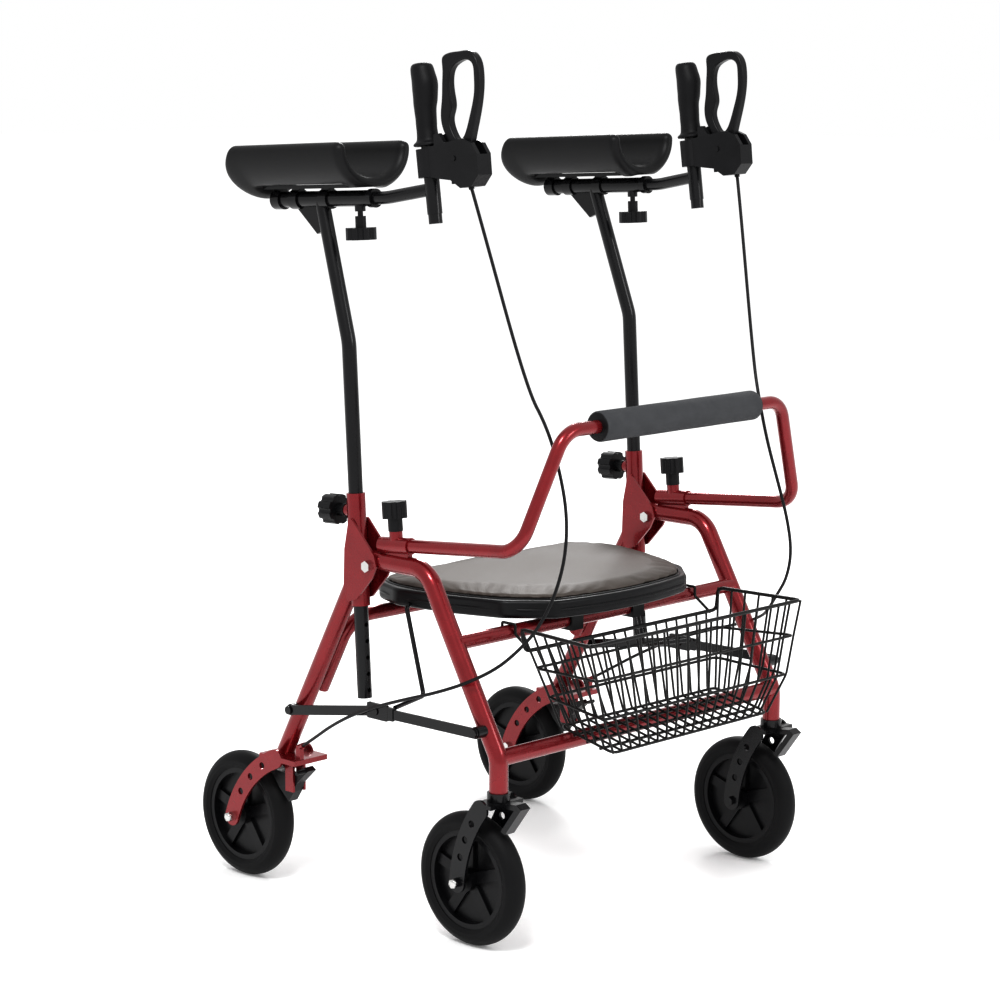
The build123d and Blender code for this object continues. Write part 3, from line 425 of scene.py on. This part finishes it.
def hand(f, u, x):
    """Point on a hand post: f forward of its axis, u up along it."""
    return at(x, hand_y - f * cos(HAND_LEAN) + u * sin(HAND_LEAN),
              hand_z + f * sin(HAND_LEAN) + u * cos(HAND_LEAN))


grip_profile = [
    (98, 13), (98, 20), (98.6, 22.4), (100.5, 23), (102.6, 22), (104.5, 18.6), (107, 16.8), (113, 16.2),
    (121, 15.8), (129, 16.3), (137, 15.7), (145, 16.6), (153, 17.2), (161, 18.4), (169, 18.6), (177, 19.8),
    (185, 19.8), (193, 19.2), (201, 18.8), (208, 18), (213, 16.6), (216, 13.5), (217, 9),
]
for side, sign in SIDES:
    rings = []
    for u, radius in grip_profile:
        palm = palm_depth * exp(-((u - palm_u) / palm_span) ** 2) if u > flange_top else 0
        groove = 0
        if groove_from < u < groove_to:
            groove = groove_depth * cos(2 * pi * (u - groove_from - 2) / groove_pitch)
        ring = []
        for j in range(grip_steps):
            a = 2 * pi * j / grip_steps
            r = radius + groove * max(0, cos(a))
            ring.append(hand(r * cos(a) + palm, u, sign * (hand_x - grip_flat * r * sin(a))))
        rings.append(ring)
    verts, faces = loft(rings)
    handle = mesh_piece(f"hand_grip_{side}", verts, faces, GRIP, f"handle_{side}",
                        subdivide=1)
    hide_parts(f"grip_{side}")

# ---------------------------------------------------------------- foam roll
roll_half, roll_r, roll_y, roll_z, roll_bore = 176, 22.5, -364, 766, 10.2
end_sink = 0.4  # dark end faces start inside the foam
roll_profile = [
    (0, roll_bore), (0, 20), (1, 21.6), (3, 22.4), (8, roll_r), (60, 22.3), (120, roll_r),
    (176, 22.2), (232, roll_r), (292, 22.3), (344, roll_r), (349, 22.4), (351, 21.6), (352, 20),
    (352, roll_bore),
]
roll = lathe("foam_grip_roll", roll_profile, at(-roll_half, roll_y, roll_z), Vector((1, 0, 0)), FOAM,
             "backrest")
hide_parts("foam_roll")
end_profile = [(0, roll_bore), (0, 20.2), (0.6, 20.8), (1.2, 19.5), (1.2, roll_bore)]
for side, sign in SIDES:
    lathe(f"foam_roll_end_{side}", end_profile, at(sign * (roll_half - end_sink), roll_y, roll_z),
          Vector((sign, 0, 0)), PLASTIC, "backrest")


# --------------------------------------------------------------------- seat
seat_front_y, seat_back_y, seat_middle_y = -283, 60, -112
front_sweep, back_sweep, corner_cuts = 21, 12, 3
cushion_voxel, held_below, cushion_cap = 0.005, 0.4945, 0.0035
cloth_frames, cloth_pressure = 20, 4


def seat_plan(inset):
    """Seat's outline in millimetres, drawn in towards a gently curved front."""
    side = [(150, -262), (205, -205), (236, -115), (250, -20), (226, 48)]
    front_half, back_half = side[0][0], side[-1][0]
    front_xs = [-front_half + 30 * i for i in range(1, 10)]
    back_xs = [back_half - 32.3 * i for i in range(1, 14)]
    front = [(x, seat_front_y + front_sweep * (abs(x) / front_half) ** 2) for x in front_xs]
    back = [(x, seat_back_y - back_sweep * (abs(x) / back_half) ** 2) for x in back_xs]
    plan = front + side + back + [(-x, y) for x, y in reversed(side)]
    for _ in range(corner_cuts):
        cut = []
        for i, (x, y) in enumerate(plan):
            nx, ny = plan[(i + 1) % len(plan)]
            for far in (0.25, 0.75):
                cut.append((x * (1 - far) + nx * far, y * (1 - far) + ny * far))
        plan = cut
    plan = plan[::2]
    moved = []
    for i, (x, y) in enumerate(plan):
        px, py = plan[i - 1]
        nx, ny = plan[(i + 1) % len(plan)]
        run = max(1e-6, ((nx - px) ** 2 + (ny - py) ** 2) ** 0.5)
        moved.append((x - inset * (ny - py) / run, y + inset * (nx - px) / run))
    return moved


def seat_ring(inset, z, shrink=1.0):
    """Ring round the seat at a height, drawn in towards the middle by shrink."""
    return [at(x * shrink, seat_middle_y + (y - seat_middle_y) * shrink, z) for x, y in seat_plan(inset)]


def swell_cushion(obj, floor_z, cap):
    """Pressure simulation of a padded cover, held at its base, applied to the mesh."""
    mesh = obj.data
    held = obj.vertex_groups.new(name="held")
    held.add([v.index for v in mesh.vertices if v.co.z < floor_z], 1.0, "REPLACE")
    rest = [v.co.copy() for v in mesh.vertices]
    cloth = obj.modifiers.new("cloth", "CLOTH")
    cloth.settings.vertex_group_mass = "held"
    cloth.settings.use_pressure = True
    cloth.settings.uniform_pressure_force = cloth_pressure
    cloth.settings.effector_weights.gravity = 0
    for frame_number in range(1, cloth_frames + 1):
        bpy.context.scene.frame_set(frame_number)
    settled = obj.evaluated_get(bpy.context.evaluated_depsgraph_get()).data
    moved = [v.co.copy() for v in settled.vertices]
    obj.modifiers.remove(cloth)
    for vertex, was, now in zip(mesh.vertices, rest, moved):
        step = now - was
        vertex.co = was + step * min(1, cap / max(step.length, 1e-9))
    bpy.context.scene.frame_set(1)


def remeshed(mesh, voxel):
    """Even skin over a closed mesh."""
    maker = bpy.data.objects.new("remesh_maker", mesh)
    bpy.context.scene.collection.objects.link(maker)
    skin = maker.modifiers.new("skin", "REMESH")
    skin.mode = "VOXEL"
    skin.voxel_size = voxel
    out = bpy.data.meshes.new_from_object(maker.evaluated_get(bpy.context.evaluated_depsgraph_get()))
    bpy.data.objects.remove(maker)
    return out


cushion_profile = [(12.5, 492.4, 1), (11.6, 494.5, 1), (12.2, 497, 1), (14.5, 499.6, 1), (18.5, 501.4, 1),
                   (25, 502.3, 1), (36, 502.8, 1), (36, 503.2, 0.8), (36, 503.4, 0.55), (36, 503.5, 0.3),
                   (36, 503.5, 0.08)]
verts, faces = loft([seat_ring(*row) for row in cushion_profile])
cushion_mesh = bpy.data.meshes.new("seat_cushion")
cushion_mesh.from_pydata([tuple(v) for v in verts], [], faces)
cushion = piece("seat_cushion", remeshed(cushion_mesh, cushion_voxel), VINYL, "seat")
swell_cushion(cushion, held_below, cushion_cap)
for face in cushion.data.polygons:
    face.use_smooth = True
cushion.modifiers.new("subdivide", "SUBSURF").render_levels = 1
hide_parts("seat_pad")
seat_edges = [("seat_piping", 9.5, 491.4, 0.0026), ("seat_rim_bead", -0.4, 478, 0.0022)]
for name, inset, z, radius in seat_edges:
    strand(name, [seat_ring(inset, z)[::2]], radius, PLASTIC, "seat", cyclic=True)

# ----------------------------------------------------------------- hardware
hex_head = [(-2, 5.5), (-2, 7.5), (0, 7.5), (3.4, 7.5), (4.2, 6.6), (4.2, 1)]
axle_z, rear_axle_y, front_axle_y = 100, 250, -252
for side, sign in SIDES:
    out = Vector((sign, 0, 0))
    for name, body, node, y in (
        ("rear_axle_bolt", "rear_frame", "rear_axles", rear_axle_y),
        ("front_axle_bolt", f"caster_{side}", f"caster_fork_{side}", front_axle_y),
    ):
        low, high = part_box(node)
        face_x = high[0] if sign > 0 else -low[0]
        lathe(f"{name}_{side}", hex_head, at(sign * face_x / MM, y, axle_z), out, STEEL, body,
              steps=6)

# ------------------------------------------------------- carried-over nodes
NODE_LOOK = {"caster_collars": BLACK}  # painted, unlike the rest of its slot
for entry in frame["record"]["subparts"]:
    node = NODES[entry["node"]]
    dress(node, NODE_LOOK.get(entry["node"], SLOT_LOOK[entry["material_slot"]]))

# -------------------------------------------------------------- stage, light
FLOOR = 30  # half of its side, in metres
floor_mesh = bpy.data.meshes.new("floor")
floor_corners = [(-FLOOR, -FLOOR, 0), (FLOOR, -FLOOR, 0), (FLOOR, FLOOR, 0), (-FLOOR, FLOOR, 0)]
floor_mesh.from_pydata(floor_corners, [], [(0, 1, 2, 3)])
floor = bpy.data.objects.new("floor", floor_mesh)
bpy.context.scene.collection.objects.link(floor)
floor_look = bpy.data.materials.new("floor_look")
floor_look.use_nodes = True
floor_shader = floor_look.node_tree.nodes["Principled BSDF"]
floor_shader.inputs["Base Color"].default_value = (0.98, 0.98, 0.98, 1)
floor_shader.inputs["Roughness"].default_value = 0.9
floor_shader.inputs["Specular IOR Level"].default_value = 0
floor_shader.inputs["Emission Color"].default_value = (1, 1, 1, 1)
floor_shader.inputs["Emission Strength"].default_value = 0.1
dress(floor, floor_look)

world = bpy.data.worlds.new("studio")
bpy.context.scene.world = world
world.use_nodes = True
world.node_tree.nodes["Background"].inputs["Color"].default_value = (1, 1, 1, 1)
world.node_tree.nodes["Background"].inputs["Strength"].default_value = 1.0
bpy.context.scene.view_settings.view_transform = "Standard"
bpy.context.scene.view_settings.gamma = 0.76


def light(name, place, target, size, power):
    """Soft area light aimed at a point."""
    lamp = bpy.data.lights.new(name, "AREA")
    lamp.size = size
    lamp.energy = power
    obj = bpy.data.objects.new(name, lamp)
    bpy.context.scene.collection.objects.link(obj)
    obj.location = place
    obj.rotation_euler = (Vector(target) - Vector(place)).to_track_quat("-Z", "Y").to_euler()


light("key", (-2.2, -1.4, 3.4), (0, 0, 0.6), 0.9, 75)
light("fill", (0.8, -3.6, 2.2), (0, 0, 0.6), 1.2, 30)
light("rim", (2.8, 2.4, 3.0), (0, 0, 0.6), 1.0, 70)
